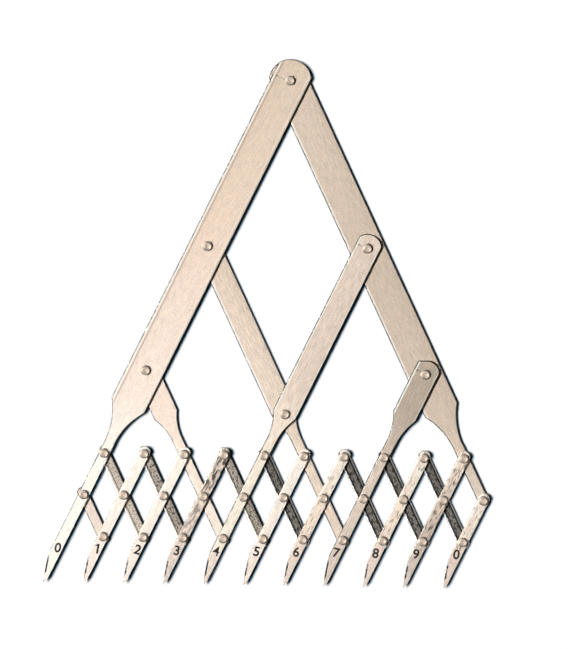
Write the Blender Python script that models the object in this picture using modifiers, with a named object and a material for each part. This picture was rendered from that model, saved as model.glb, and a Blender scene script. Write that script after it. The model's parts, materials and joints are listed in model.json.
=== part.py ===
"""Ten point divider: a lazy-tongs linkage of flat metal bars that sets out ten equal spaces.

The bars lie in two flat layers and are joined where they cross by domed rivets.
A leg is a front bar, which leans right as it rises and ends below in a point.
A link is a back bar, which leans left as it rises. Two long arms, the first leg and the
last link, meet at the apex rivet, and four long braces tie the lattice to them.
Every pivot is named by the numbers of the link and the leg that cross there.

Lengths are in metres. The tool lies flat: X runs along the row of points, Y runs from the
points to the apex and Z is up. The origin is under the apex rivet, on the surface that the
rear rivet heads rest on.
"""

import math
from dataclasses import dataclass

import bmesh
import bpy
from mathutils import Vector

# Linkage: the number of spaces, the distance between neighbouring pivots on a bar,
# and the angle between the two layers as the tool is modelled
SPACES = 10
PIVOT_SPACING = 0.0160
OPEN_ANGLE = math.radians(51.22)

# Pivots above the lattice, as (link, leg) numbers, where the arms and braces cross
BRACE_PIVOTS = [(3, 0), (6, 0), (6, 4), (SPACES, 4), (SPACES, 7), (SPACES, 0)]

# Flat bars
BAR_THICKNESS = 0.0012
EDGE_CHAMFER = 0.0003
LAYER_GAP = 0.0001
LATTICE_WIDTH = 0.0036
BRACE_WIDTH = 0.0084
ARM_WIDTH = 0.0124

# A round end is struck with a radius a little over half of the bar's width, from its rivet
# on the wide bars and from a little beyond it on the narrow ones
WIDE_END_SHARE = 1.18
LATTICE_END_SHARE = 1.17
LATTICE_END_REACH = 0.00055

# Necks: heights above the bar's pivot in the lattice's upper row, where the edge leaves
# the narrow width and where it reaches the wide one in a shoulder
ARM_NECK_START = 0.0042
ARM_SHOULDER = 0.0185
BRACE_NECK_START = 0.0059
BRACE_SHOULDER = 0.0159
LOW_BRACE_SHOULDER = 0.0149

# Points: measured down the leg from its pivot in the lattice's middle row
POINT_LENGTH = 0.0334
TAPER_LENGTH = 0.0108
TAPER_BULGE = 0.0003
TIP_SLANT_LENGTH = 0.0020
TIP_OFFSET_SHARE = 0.67

# The last brace's top end has its left corner cut flat instead of round
CUT_CORNER_SHARE = 0.65
CUT_ARC_END = math.radians(97.5)

# Rivets
PIN_RADIUS = 0.0008
PIN_CLEARANCE = 0.0001
LATTICE_HEAD_RADIUS = 0.00165
BRACE_HEAD_RADIUS = 0.00185
HEAD_LIP = 0.0002
HEAD_DOME = 0.0006
REAR_HEAD_RADIUS = 0.0015
REAR_HEAD_HEIGHT = 0.0005

# Facets
WIDE_END_STEPS = 8
LATTICE_END_STEPS = 6
NECK_STEPS = 6
TAPER_STEPS = 4
DOME_STEPS = 3
RIVET_SIDES = 12
HOLE_SIDES = 12
WELD_DISTANCE = 0.000001
SMOOTH_ANGLE = math.radians(35)

# Heights of the layers above the resting surface
BACK_LAYER_Z = REAR_HEAD_HEIGHT + LAYER_GAP
FRONT_LAYER_Z = BACK_LAYER_Z + BAR_THICKNESS + LAYER_GAP
HEAD_Z = FRONT_LAYER_Z + BAR_THICKNESS + LAYER_GAP
HOLE_RADIUS = (PIN_RADIUS + PIN_CLEARANCE) / math.cos(math.pi / HOLE_SIDES)

LEG = "leg"
LINK = "link"


@dataclass(frozen=True)
class Bar:
    """One flat bar: a front leg or a back link, numbered from the left."""

    layer: str
    number: int


LEFT_ARM = Bar(LEG, 0)
RIGHT_ARM = Bar(LINK, SPACES)
LOW_BRACE = Bar(LINK, 3)
LAST_BRACE = Bar(LEG, 7)


@dataclass(frozen=True)
class Metal:
    """A finish: its base colour in linear values and its roughness."""

    name: str
    colour: tuple
    roughness: float


PALE_METAL = Metal("pale_metal", (0.88, 0.76, 0.64), 0.32)
WARM_METAL = Metal("warm_metal", (0.72, 0.60, 0.50), 0.34)
GREY_METAL = Metal("grey_metal", (0.46, 0.40, 0.34), 0.36)
DARK_METAL = Metal("dark_metal", (0.22, 0.19, 0.17), 0.38)
RIVET_METAL = Metal("rivet_metal", (0.52, 0.44, 0.37), 0.26)

# Finish of each front bar and of each back bar, from left to right
LEG_METALS = [PALE_METAL] * 4 + [WARM_METAL] * 3 + [GREY_METAL, WARM_METAL] * 2
LINK_METALS = [WARM_METAL, GREY_METAL, GREY_METAL, PALE_METAL, GREY_METAL, GREY_METAL]
LINK_METALS += [WARM_METAL, DARK_METAL, DARK_METAL, DARK_METAL, WARM_METAL]


# Layout of the linkage


def all_pivots():
    """Lists every pivot once as (link, leg) numbers, the lattice's first."""
    lattice = []
    for leg in range(SPACES + 1):
        for link in (leg - 1, leg, leg + 1):
            if 0 <= link <= SPACES:
                lattice.append((link, leg))
    return lattice + BRACE_PIVOTS


def bars_at(pivot):
    """Gives the leg and the link that cross at a pivot."""
    link, leg = pivot
    return Bar(LEG, leg), Bar(LINK, link)


def height_on(bar, pivot):
    """Gives how high a pivot lies along its bar: legs rise to the right, links to the left."""
    link, leg = pivot
    if bar.layer == LEG:
        return link * PIVOT_SPACING
    return -leg * PIVOT_SPACING


def pivots_on(bar):
    """Lists a bar's pivots from the top down."""
    own = [pivot for pivot in all_pivots() if bar in bars_at(pivot)]
    return sorted(own, key=lambda pivot: height_on(bar, pivot), reverse=True)


def upper_row_pivot(bar):
    """Gives the pivot where a bar passes through the lattice's upper row."""
    if bar.layer == LEG:
        return bar.number + 1, bar.number
    return bar.number, bar.number - 1


def is_long(bar):
    """Tells whether a bar runs on above the lattice, as the arms and braces do."""
    return height_on(bar, pivots_on(bar)[0]) > height_on(bar, upper_row_pivot(bar))


def hinge_pivots():
    """Hangs the linkage on its left arm: maps each other bar to its carrier and their pivot.

    The bars are reached in order from the left arm, through the highest free pivot of each.
    """
    hinges = {}
    reached = [LEFT_ARM]
    for carrier in reached:
        for pivot in pivots_on(carrier):
            for bar in bars_at(pivot):
                if bar not in reached:
                    hinges[bar] = (carrier, pivot)
                    reached.append(bar)
    return hinges


def bar_name(bar):
    """Gives a bar's name."""
    if bar == LEFT_ARM:
        return "left_arm"
    if bar == RIGHT_ARM:
        return "right_arm"
    return f"{bar.layer}_{bar.number:02d}"


def rivet_name(pivot):
    """Gives a rivet's name, from its row in the lattice or from its own place above it."""
    link, leg = pivot
    if pivot == (SPACES, 0):
        return "apex_rivet"
    if pivot in BRACE_PIVOTS:
        return f"brace_rivet_{link:02d}_{leg:02d}"
    row = {-1: "lower", 0: "middle", 1: "upper"}[link - leg]
    return f"{row}_rivet_{leg:02d}"


# Outlines of the bars, in a frame whose Y runs up the bar from its zero height


def arc(centre, radius, start, end, steps):
    """Gives the points of an arc, both its ends included."""
    points = []
    for step in range(steps + 1):
        angle = start + (end - start) * step / steps
        points.append(centre + radius * Vector((math.cos(angle), math.sin(angle))))
    return points


def upper_half_width(bar):
    """Gives half of a bar's width at its top end."""
    if bar in (LEFT_ARM, RIGHT_ARM):
        return ARM_WIDTH / 2
    if is_long(bar):
        return BRACE_WIDTH / 2
    return LATTICE_WIDTH / 2


def right_neck(bar):
    """Gives the right side of a long bar's neck, from the narrow width up to the shoulder.

    The edge is one arc that starts in line with the narrow part and meets the wide part's
    edge in a corner.
    """
    if not is_long(bar):
        return []
    start_height, shoulder_height = BRACE_NECK_START, BRACE_SHOULDER
    if bar in (LEFT_ARM, RIGHT_ARM):
        start_height, shoulder_height = ARM_NECK_START, ARM_SHOULDER
    if bar == LOW_BRACE:
        shoulder_height = LOW_BRACE_SHOULDER
    narrow = LATTICE_WIDTH / 2
    widening = upper_half_width(bar) - narrow
    rise = shoulder_height - start_height
    sweep = 2 * math.atan2(widening, rise)
    radius = rise / math.sin(sweep)
    base = height_on(bar, upper_row_pivot(bar)) + start_height
    centre = Vector((narrow + radius, base))
    return arc(centre, radius, math.pi, math.pi - sweep, NECK_STEPS)


def round_end(half_width, height, turn):
    """Gives a bar's round end about a rivet, anticlockwise; turn is 0 above and pi below."""
    share, reach, steps = WIDE_END_SHARE, 0, WIDE_END_STEPS
    if half_width == LATTICE_WIDTH / 2:
        share, reach, steps = LATTICE_END_SHARE, LATTICE_END_REACH, LATTICE_END_STEPS
    radius = half_width * share
    corner = math.acos(half_width / radius)
    centre = Vector((0, height + reach * math.cos(turn)))
    return arc(centre, radius, turn + corner, turn + math.pi - corner, steps)


def cut_corner_end(half_width, height):
    """Gives a top end that is round at the right and cut straight over its left corner."""
    radius = half_width * WIDE_END_SHARE
    corner = math.acos(half_width / radius)
    centre = Vector((0, height))
    rounded = arc(centre, radius, corner, CUT_ARC_END, WIDE_END_STEPS)
    return rounded + [Vector((-half_width, height + radius * CUT_CORNER_SHARE))]


def point_end(bar):
    """Gives a leg's point, from its left edge down to the tip and up to its right edge."""
    half_width = LATTICE_WIDTH / 2
    tip_height = height_on(bar, (bar.number, bar.number)) - POINT_LENGTH
    tip = Vector((half_width * TIP_OFFSET_SHARE, tip_height))
    shoulder = Vector((-half_width, tip_height + TAPER_LENGTH))
    along = tip - shoulder
    outward = Vector((along.y, -along.x)).normalized()
    points = []
    for step in range(TAPER_STEPS + 1):
        share = step / TAPER_STEPS
        swell = 4 * share * (1 - share) * TAPER_BULGE
        points.append(shoulder + along * share + outward * swell)
    return points + [Vector((half_width, tip_height + TIP_SLANT_LENGTH))]


def outline(bar):
    """Gives a bar's whole outline, anticlockwise from the foot of its right edge."""
    top_height = height_on(bar, pivots_on(bar)[0])
    foot_height = height_on(bar, pivots_on(bar)[-1])
    right = right_neck(bar)
    left = [Vector((-point.x, point.y)) for point in reversed(right)]
    if bar == LAST_BRACE:
        top = cut_corner_end(upper_half_width(bar), top_height)
    else:
        top = round_end(upper_half_width(bar), top_height, 0)
    if bar.layer == LEG:
        foot = point_end(bar)
    else:
        foot = round_end(LATTICE_WIDTH / 2, foot_height, math.pi)
    return right + top + left + foot


# Modelling


def clear_scene():
    """Removes every object that the scene already holds."""
    for item in list(bpy.data.objects):
        bpy.data.objects.remove(item, do_unlink=True)


def new_collection(name):
    """Makes a collection in the scene."""
    collection = bpy.data.collections.new(name)
    bpy.context.scene.collection.children.link(collection)
    return collection


def new_material(metal):
    """Makes the Principled material of a metal finish."""
    material = bpy.data.materials.new(metal.name)
    material.use_nodes = True
    shader = material.node_tree.nodes["Principled BSDF"]
    shader.inputs["Base Color"].default_value = (*metal.colour, 1.0)
    shader.inputs["Metallic"].default_value = 1.0
    shader.inputs["Roughness"].default_value = metal.roughness
    material.diffuse_color = (*metal.colour, 1.0)
    return material


def evaluated_mesh(item, name):
    """Copies an object's finished shape into a closed mesh, and removes the object."""
    depsgraph = bpy.context.evaluated_depsgraph_get()
    mesh = bpy.data.meshes.new_from_object(item.evaluated_get(depsgraph))
    mesh.name = name
    bpy.data.objects.remove(item, do_unlink=True)
    work = bmesh.new()
    work.from_mesh(mesh)
    bmesh.ops.remove_doubles(work, verts=work.verts, dist=WELD_DISTANCE)
    bmesh.ops.recalc_face_normals(work, faces=work.faces)
    work.to_mesh(mesh)
    work.free()
    return mesh


def bar_blank(bar, origin_height, collection):
    """Makes a bar without its holes: a flat outline with thickness and chamfered edges."""
    points = outline(bar)
    curve = bpy.data.curves.new(bar_name(bar) + "_outline", "CURVE")
    curve.dimensions = "2D"
    curve.fill_mode = "BOTH"
    curve.extrude = BAR_THICKNESS / 2 - EDGE_CHAMFER
    curve.bevel_depth = EDGE_CHAMFER
    curve.bevel_resolution = 0
    curve.offset = -EDGE_CHAMFER
    spline = curve.splines.new("POLY")
    spline.points.add(len(points) - 1)
    for target, point in zip(spline.points, points):
        target.co = (point.x, point.y - origin_height, 0, 1)
    spline.use_cyclic_u = True
    item = bpy.data.objects.new(curve.name, curve)
    collection.objects.link(item)
    bpy.context.view_layer.update()
    mesh = evaluated_mesh(item, bar_name(bar))
    bottom = FRONT_LAYER_Z if bar.layer == LEG else BACK_LAYER_Z
    for vertex in mesh.vertices:
        vertex.co.z += bottom + BAR_THICKNESS / 2
    bpy.data.curves.remove(curve)
    return mesh


def drill(bar, origin_height):
    """Makes the cutter of a bar's rivet holes, one cylinder at each of its pivots."""
    work = bmesh.new()
    for pivot in pivots_on(bar):
        made = bmesh.ops.create_cone(
            work,
            cap_ends=True,
            segments=HOLE_SIDES,
            radius1=HOLE_RADIUS,
            radius2=HOLE_RADIUS,
            depth=2 * (HEAD_Z + HEAD_LIP),
        )
        offset = Vector((0, height_on(bar, pivot) - origin_height, 0))
        bmesh.ops.translate(work, verts=made["verts"], vec=offset)
    mesh = bpy.data.meshes.new(bar_name(bar) + "_holes")
    work.to_mesh(mesh)
    work.free()
    return mesh


def add_bar(bar, origin_height, parts, cutters, material):
    """Adds a bar with its origin on the axis it turns about, at the given height along it."""
    item = bpy.data.objects.new(bar_name(bar), bar_blank(bar, origin_height, parts))
    item.data.materials.append(material)
    parts.objects.link(item)
    cutter = bpy.data.objects.new(bar_name(bar) + "_holes", drill(bar, origin_height))
    cutter.parent = item
    cutter.hide_render = True
    cutter.display_type = "WIRE"
    cutters.objects.link(cutter)
    holes = item.modifiers.new("rivet holes", "BOOLEAN")
    holes.operation = "DIFFERENCE"
    holes.solver = "EXACT"
    holes.object = cutter
    return item


def rivet_profile(head_radius):
    """Gives a rivet's turned profile down its outer side, from the dome to the rear face.

    The dome is a slice of a ball whose edge stands on a short upright lip.
    """
    ball_radius = (head_radius ** 2 + HEAD_DOME ** 2) / (2 * HEAD_DOME)
    ball_centre = HEAD_Z + HEAD_LIP + HEAD_DOME - ball_radius
    edge_angle = math.asin(head_radius / ball_radius)
    points = []
    for step in range(DOME_STEPS + 1):
        angle = edge_angle * step / DOME_STEPS
        radial = ball_radius * math.sin(angle)
        points.append((radial, ball_centre + ball_radius * math.cos(angle)))
    points.append((head_radius, HEAD_Z))
    points.append((PIN_RADIUS, HEAD_Z))
    points.append((PIN_RADIUS, REAR_HEAD_HEIGHT))
    points.append((REAR_HEAD_RADIUS, REAR_HEAD_HEIGHT))
    points.append((REAR_HEAD_RADIUS, 0))
    points.append((0, 0))
    return points


def rivet_mesh(name, head_radius, collection, material):
    """Turns a rivet: a domed front head, a pin through both layers and a flat rear head."""
    points = rivet_profile(head_radius)
    profile = bpy.data.meshes.new(name + "_profile")
    vertices = [(radius, 0, height) for radius, height in points]
    edges = [(index, index + 1) for index in range(len(points) - 1)]
    profile.from_pydata(vertices, edges, [])
    item = bpy.data.objects.new(profile.name, profile)
    collection.objects.link(item)
    turn = item.modifiers.new("turn", "SCREW")
    turn.steps = RIVET_SIDES
    turn.render_steps = RIVET_SIDES
    turn.use_merge_vertices = True
    turn.merge_threshold = WELD_DISTANCE
    bpy.context.view_layer.update()
    mesh = evaluated_mesh(item, name)
    bpy.data.meshes.remove(profile)
    mesh.materials.append(material)
    mesh.shade_smooth()
    mesh.set_sharp_from_angle(angle=SMOOTH_ANGLE)
    return mesh


def build():
    """Builds the divider: bars hung on each other at their hinges, then the rivets."""
    clear_scene()
    parts = new_collection("ten_point_divider")
    cutters = new_collection("cutters")
    metals = set(LEG_METALS + LINK_METALS + [RIVET_METAL])
    materials = {metal: new_material(metal) for metal in sorted(metals, key=lambda m: m.name)}

    hinges = {LEFT_ARM: (None, (SPACES, 0)), **hinge_pivots()}
    items = {}
    for bar, (carrier, pivot) in hinges.items():
        metal_list = LEG_METALS if bar.layer == LEG else LINK_METALS
        material = materials[metal_list[bar.number]]
        item = add_bar(bar, height_on(bar, pivot), parts, cutters, material)
        items[bar] = item
        if carrier is None:
            item.rotation_euler.z = -OPEN_ANGLE / 2
            continue
        item.parent = items[carrier]
        carrier_origin = height_on(carrier, hinges[carrier][1])
        item.location.y = height_on(carrier, pivot) - carrier_origin
        item.rotation_euler.z = OPEN_ANGLE if carrier.layer == LEG else -OPEN_ANGLE

    rivet = materials[RIVET_METAL]
    lattice_rivet = rivet_mesh("lattice_rivet", LATTICE_HEAD_RADIUS, parts, rivet)
    brace_rivet = rivet_mesh("brace_rivet", BRACE_HEAD_RADIUS, parts, rivet)
    for pivot in all_pivots():
        leg = bars_at(pivot)[0]
        mesh = brace_rivet if pivot in BRACE_PIVOTS else lattice_rivet
        item = bpy.data.objects.new(rivet_name(pivot), mesh)
        item.parent = items[leg]
        item.location.y = height_on(leg, pivot) - height_on(leg, hinges[leg][1])
        parts.objects.link(item)
    bpy.context.view_layer.update()


build()
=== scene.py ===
"""Ten point divider: the finished looks of a lazy-tongs tool of riveted flat steel bars.

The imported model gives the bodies. Every bar and rivet is modelled again here with finer
round ends, rolled edges and domes, and takes the place of its node. Lengths are in metres,
and in millimetres where a pattern's size is stated. A leg is a front bar, which leans right
as it rises; a link is a back bar, which leans left.
"""

import json
import logging
import math
from collections.abc import Callable
from dataclasses import dataclass, field
from enum import Enum
from functools import partial

import bmesh
import bpy
from bpy.types import Collection, Material, Node, NodeTree, Object
from bpy.types import NodeSocket as Socket
from mathutils import Matrix, Vector

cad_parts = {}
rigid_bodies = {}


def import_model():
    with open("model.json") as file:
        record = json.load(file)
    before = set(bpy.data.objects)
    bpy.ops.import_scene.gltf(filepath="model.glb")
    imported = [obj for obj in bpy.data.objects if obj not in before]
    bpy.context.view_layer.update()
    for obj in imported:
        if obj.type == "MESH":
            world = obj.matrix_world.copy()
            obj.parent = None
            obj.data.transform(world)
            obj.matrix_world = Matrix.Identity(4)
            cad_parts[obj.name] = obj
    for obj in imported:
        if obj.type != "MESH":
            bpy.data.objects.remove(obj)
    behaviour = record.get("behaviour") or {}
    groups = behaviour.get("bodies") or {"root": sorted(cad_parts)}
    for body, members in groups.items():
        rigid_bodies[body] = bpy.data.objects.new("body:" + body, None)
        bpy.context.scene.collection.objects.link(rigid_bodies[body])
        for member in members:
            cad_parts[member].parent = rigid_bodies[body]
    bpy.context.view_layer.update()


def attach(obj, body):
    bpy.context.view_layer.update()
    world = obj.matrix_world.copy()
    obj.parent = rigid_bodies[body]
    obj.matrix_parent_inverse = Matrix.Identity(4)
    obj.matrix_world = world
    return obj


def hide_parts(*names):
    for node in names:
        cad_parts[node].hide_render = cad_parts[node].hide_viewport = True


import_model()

LOG = logging.getLogger("divider")

# What a node's inputs take, and the place, the sRGB hex colour and the alpha of each stop in a row
Inputs = dict | tuple | list
Stops = tuple[tuple[float, str, float], ...]

MM = 0.001

# Points nearer than TINY are one. CLOSED is half the width of a rung that closes to a point
TINY = 0.000004
CLOSED = TINY / 4

# The photograph's size, scale and roll, and the pixel of the apex rivet
IMAGE_WIDTH = 568
IMAGE_HEIGHT = 649
PIXELS_PER_METRE = 2891.0
APEX_PIXEL = (290.03, 80.56)
PHOTO_ROLL = math.radians(0.92)


class Layer(Enum):
    """The two layers of bars."""

    LEG = "leg"
    LINK = "link"


class Foot(Enum):
    """How a bar ends below."""

    POINT = "ground to a point"
    ROUND = "round about a rivet"


@dataclass(frozen=True)
class Linkage:
    """The lattice of pivots and the heights of the two layers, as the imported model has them."""

    spaces: int = 10
    spacing: float = 0.0160
    open_angle: float = math.radians(51.22)
    thickness: float = 0.0012
    back_z: float = 0.0006
    front_z: float = 0.0019
    head_z: float = 0.0032

    def turn(self, layer: Layer) -> float:
        """Gives the angle by which a layer's bars are turned from upright.

        Args:
            layer: The layer of the bar.

        Returns:
            The angle about Z, in radians.
        """
        return -self.open_angle / 2 if layer is Layer.LEG else self.open_angle / 2

    def point(self, link: float, leg: float) -> Vector:
        """Gives the place of the pivot where a link and a leg cross.

        Args:
            link: The number of the back bar.
            leg: The number of the front bar.

        Returns:
            The pivot's place on the resting plane.
        """
        half = self.open_angle / 2
        across, rise = math.sin(half) * self.spacing, math.cos(half) * self.spacing
        right = link - self.spaces
        return Vector(((right + leg) * across, (right - leg) * rise, 0.0))

    def node(self, layer: Layer, number: int) -> str:
        """Names a bar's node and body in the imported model.

        Args:
            layer: The layer of the bar.
            number: The bar's number, from the left.

        Returns:
            The name.
        """
        if layer is Layer.LEG and number == 0:
            return "left_arm"
        if layer is Layer.LINK and number == self.spaces:
            return "right_arm"
        return f"{layer.value}_{number:02d}"


LINKAGE = Linkage()


def linear(code: str) -> tuple[float, float, float, float]:
    """Turns an sRGB hex colour into linear values.

    Args:
        code: Six hex digits.

    Returns:
        Red, green, blue and an alpha of one.
    """
    values = []
    for start in (0, 2, 4):
        share = int(code[start : start + 2], 16) / 255
        values.append(share / 12.92 if share <= 0.04045 else ((share + 0.055) / 1.055) ** 2.4)
    return (*values, 1.0)


def set_inputs(node: Node, inputs: Inputs) -> None:
    """Gives a node's inputs their values, or links sockets to them.

    Args:
        node: The node.
        inputs: A value or a socket for each input, by its name or number, or in their order.
    """
    for key, value in inputs.items() if isinstance(inputs, dict) else enumerate(inputs):
        if isinstance(value, Socket):
            node.id_data.links.new(value, node.inputs[key])
        else:
            node.inputs[key].default_value = value


def add_node(
    tree: NodeTree, kind: str, inputs: Inputs = (), output: int | str = 0, **settings: str
) -> Socket:
    """Adds a node to a tree with its settings, values and links.

    A Mix node takes two numbers at 2 and 3, or two colours at 6 and 7 with its result at 2.

    Args:
        tree: The tree that takes the node.
        kind: Blender's name of the node, without its ShaderNode prefix.
        inputs: A value or a socket for each input, by its name or number, or in their order.
        output: The name or number of the output that is wanted.
        settings: The node's own settings.

    Returns:
        The wanted output.
    """
    node = tree.nodes.new("ShaderNode" + kind)
    for key, value in settings.items():
        setattr(node, key, value)
    set_inputs(node, inputs)
    return node.outputs[output]


def new_material(name: str) -> tuple[Material, NodeTree, Node]:
    """Makes an empty node material.

    Args:
        name: The material's name.

    Returns:
        The material, its tree and its Principled node.
    """
    material = bpy.data.materials.new(name)
    material.use_nodes = True
    return material, material.node_tree, material.node_tree.nodes["Principled BSDF"]


@dataclass(frozen=True)
class RolledSteel:
    """Nickel-plated steel strip, rolled and brushed along its length.

    The plating is satin, with a grain along the bar and soft blotches. The rolled border and the
    stamped edge below it carry painted highlights and painted shade, unlike at left and right.

    stops colours the bar from foot to top, and the two border rows paint highlight and shade on
    its border from the face out to the wall. The depths are how far the grain, the specks and the
    blotches swing the grey. Each painted line is a thin painted highlight or painted shade along the
    bar: its place and width in millimetres, its colour and its strength. stain is the place of a spot
    beside the top rivet, in millimetres.
    """

    name: str
    slot: str
    stops: Stops
    half_width: float = 1.8
    fade_left: float = 0.0
    fade_right: float = 0.0
    grain_depth: float = 0.30
    speck_depth: float = 0.45
    blotch_depth: float = 0.20
    fleck: str = "8C7F72"
    fleck_share: float = 0.0
    fleck_floor: float = 0.0
    fleck_full: float = 0.35
    # Painted highlight and painted shade on the left and the right border, from the face out to the wall
    left_highlight_and_shade: Stops = (
        (0.00, "FFF6EA", 0.0),
        (0.12, "FFF6EA", 0.6),
        (0.60, "FFF3E4", 0.6),
        (0.72, "A89F94", 0.5),
        (1.00, "6E665C", 0.8),
    )
    right_highlight_and_shade: Stops = (
        (0.00, "FFF3E2", 0.0),
        (0.06, "FFF3E2", 0.4),
        (0.16, "3A332C", 0.8),
        (1.00, "1A1715", 1.0),
    )
    painted_lines: tuple[tuple[float, float, str, float], ...] = ()
    stain: tuple[float, float] | None = None
    dark_mark_colour: str = "241F1B"
    metallic: float = 0.70
    roughness: float = 0.50
    rough_swing: float = 0.10
    specular: float = 0.5

    # Real sizes in millimetres. The brush lines of such strip are some 0.02 mm apart; they are
    # drawn 0.45 mm apart so that they show at this scale
    grain_width: float = 0.45
    grain_length: float = 4.0
    speck_size: float = 0.55
    blotch_width: float = 1.56
    blotch_length: float = 2.6
    fleck_width: float = 0.50
    fleck_length: float = 3.0
    patch_width: float = 3.0
    patch_length: float = 0.9
    scratch_depth: float = 0.03
    scratch_share: float = 0.25

    # Flecks show where their noise passes a level, which falls as their share rises. On a leg
    # they grow fainter below fleck_full, and stay at fleck_least from fleck_floor down
    fleck_level: float = 0.66
    fleck_swing: float = 0.2
    fleck_blur: float = 0.10
    fleck_strength: float = 0.95
    fleck_least: float = 0.1

    # A colour is matt below the first value, and bare metal above the second
    bare_range: tuple[float, float] = (0.03, 0.16)

    # Where the point's patch noise passes from light to full dark, and how dark it stays in the light
    # patches, and where the dark starts down the slope, out on the border and on the very tip
    patch_range: tuple[float, float, float] = (0.36, 0.52, 0.40)
    ground_range: tuple[float, float] = (0.02, 0.14)
    border_start: float = 0.06
    tip_start: float = 0.97

    # Radii and strength of the stain, then those of its scratch, and where the scratch ends
    stain_spot: tuple[float, float, float] = (0.10, 0.55, 0.75)
    stain_line: tuple[float, float, float] = (0.08, 0.24, 0.40)
    stain_end: float = -1.0

    def material(self) -> Material:
        """Makes the node material.

        Returns:
            The material.
        """
        material, tree, shader = new_material(self.name)
        add = partial(add_node, tree)
        place = add("UVMap", uv_map="bar")
        across = add("SeparateXYZ", (place,))
        grain = self.noise(tree, place, self.grain_width, self.grain_length)
        base, left, right = self.rows(tree)
        colour = self.face(tree, place, grain, base[0])
        colour = self.paint_border_light(tree, across, colour, left, right)
        dark = [self.darkened_point(tree, place)]
        if self.stain:
            dark.append(self.stained(tree, across))
        for share in dark:
            colour = add("Mix", {0: share, 6: colour, 7: linear(self.dark_mark_colour)}, 2, data_type="RGBA")
        # What is dark, such as the painted shade, the darkened point and the stain, is matt and mirrors
        # nothing
        bare = add("MapRange", (add("RGBToBW", (colour,)), *self.bare_range))
        rough = (grain, self.rough_swing, self.roughness - self.rough_swing / 2)
        bump = {"Height": grain, "Strength": self.scratch_share, "Distance": self.scratch_depth * MM}
        inputs = {
            "Base Color": colour,
            "Metallic": add("Math", (bare, self.metallic), operation="MULTIPLY"),
            "Specular IOR Level": add("Math", (bare, self.specular), operation="MULTIPLY"),
            "Roughness": add("Math", rough, operation="MULTIPLY_ADD"),
            "Normal": add("Bump", bump),
        }
        set_inputs(shader, inputs)
        return material

    def rows(self, tree: NodeTree) -> list[tuple[Socket, Socket]]:
        """Spreads the rows of colours along the bar and over its left and right border.

        Args:
            tree: The tree that takes the nodes.

        Returns:
            The colour and the alpha of each row.
        """
        found = []
        for name, stops in (("tone", self.stops), ("edge", self.left_highlight_and_shade), ("edge", self.right_highlight_and_shade)):
            place = add_node(tree, "Attribute", output="Fac", attribute_name=name)
            node = add_node(tree, "ValToRGB", (place,)).node
            marks = node.color_ramp.elements
            while len(marks) < len(stops):
                marks.new(1.0)
            for mark, (spot, code, alpha) in zip(marks, stops):
                mark.position = spot
                mark.color = (*linear(code)[:3], alpha)
            found.append((node.outputs[0], node.outputs[1]))
        return found

    def face(self, tree: NodeTree, place: Socket, grain: Socket, colour: Socket) -> Socket:
        """Colours the face: the plating with its shade, its flecks and its painted lines of highlight
        and shade.

        Args:
            tree: The tree that takes the nodes.
            place: The place on the bar, in millimetres.
            grain: The grain along the bar.
            colour: The plating's own colour.

        Returns:
            The colour of the face.
        """
        add = partial(add_node, tree)
        across = add("SeparateXYZ", (place,))
        inputs = {0: 1.0, 6: colour, 7: self.shade(tree, place, across, grain)}
        colour = add("Mix", inputs, 2, data_type="RGBA", blend_type="MULTIPLY")
        if self.fleck_share:
            fleck = self.noise(tree, place, self.fleck_width, self.fleck_length, detail=4.0)
            low = self.fleck_level - self.fleck_share * self.fleck_swing
            mask = add("MapRange", (fleck, low, low + self.fleck_blur, 0.0, self.fleck_strength))
            if self.fleck_floor:
                tone = add("Attribute", output="Fac", attribute_name="tone")
                high = add("MapRange", (tone, self.fleck_floor, self.fleck_full, self.fleck_least))
                mask = add("Math", (mask, high), operation="MULTIPLY")
            colour = add("Mix", {0: mask, 6: colour, 7: linear(self.fleck)}, 2, data_type="RGBA")
        # Painted highlights and painted shade: thin lines along the bar that stand for light and shade
        # along its edges
        for middle, width, code, strength in self.painted_lines:
            away = add("Math", (across, middle), operation="SUBTRACT")
            away = add("Math", (away,), operation="ABSOLUTE")
            line = add("MapRange", (away, width / 2, width, strength, 0.0))
            colour = add("Mix", {0: line, 6: colour, 7: linear(code)}, 2, data_type="RGBA")
        return colour

    def paint_border_light(
        self,
        tree: NodeTree,
        across: Socket,
        colour: Socket,
        left: tuple[Socket, Socket],
        right: tuple[Socket, Socket],
    ) -> Socket:
        """Paints highlight and shade on the rolled border and the stamped edge, each side by its own
        row.

        Args:
            tree: The tree that takes the nodes.
            across: The place across the bar.
            colour: The colour of the face.
            left: The colour and the alpha of the left border.
            right: The colour and the alpha of the right border.

        Returns:
            The colour with its border.
        """
        add = partial(add_node, tree)
        side = add("Math", (across, 0.0), operation="GREATER_THAN")
        trim = add("Mix", {0: side, 6: left[0], 7: right[0]}, 2, data_type="RGBA")
        share = add("Mix", {0: side, 2: left[1], 3: right[1]})
        return add("Mix", {0: share, 6: colour, 7: trim}, 2, data_type="RGBA")

    def darkened_point(self, tree: NodeTree, place: Socket) -> Socket:
        """Darkens the ground slope of the point and its very tip, broken up in patches.

        Args:
            tree: The tree that takes the nodes.
            place: The place on the bar, in millimetres.

        Returns:
            The strength of the dark.
        """
        add = partial(add_node, tree)
        patches = self.noise(tree, place, self.patch_width, self.patch_length, detail=1.0)
        patches = add("MapRange", (patches, *self.patch_range))
        ground = add("Attribute", output="Fac", attribute_name="ground")
        edge = add("Attribute", output="Fac", attribute_name="edge")
        tip = add("Math", (ground, self.tip_start), operation="GREATER_THAN")
        outer = add("Math", (add("MapRange", (edge, 0.0, self.border_start)), tip), operation="MAXIMUM")
        dark = add("Math", (add("MapRange", (ground, *self.ground_range)), patches), operation="MULTIPLY")
        return add("Math", (dark, outer), operation="MULTIPLY")

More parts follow.
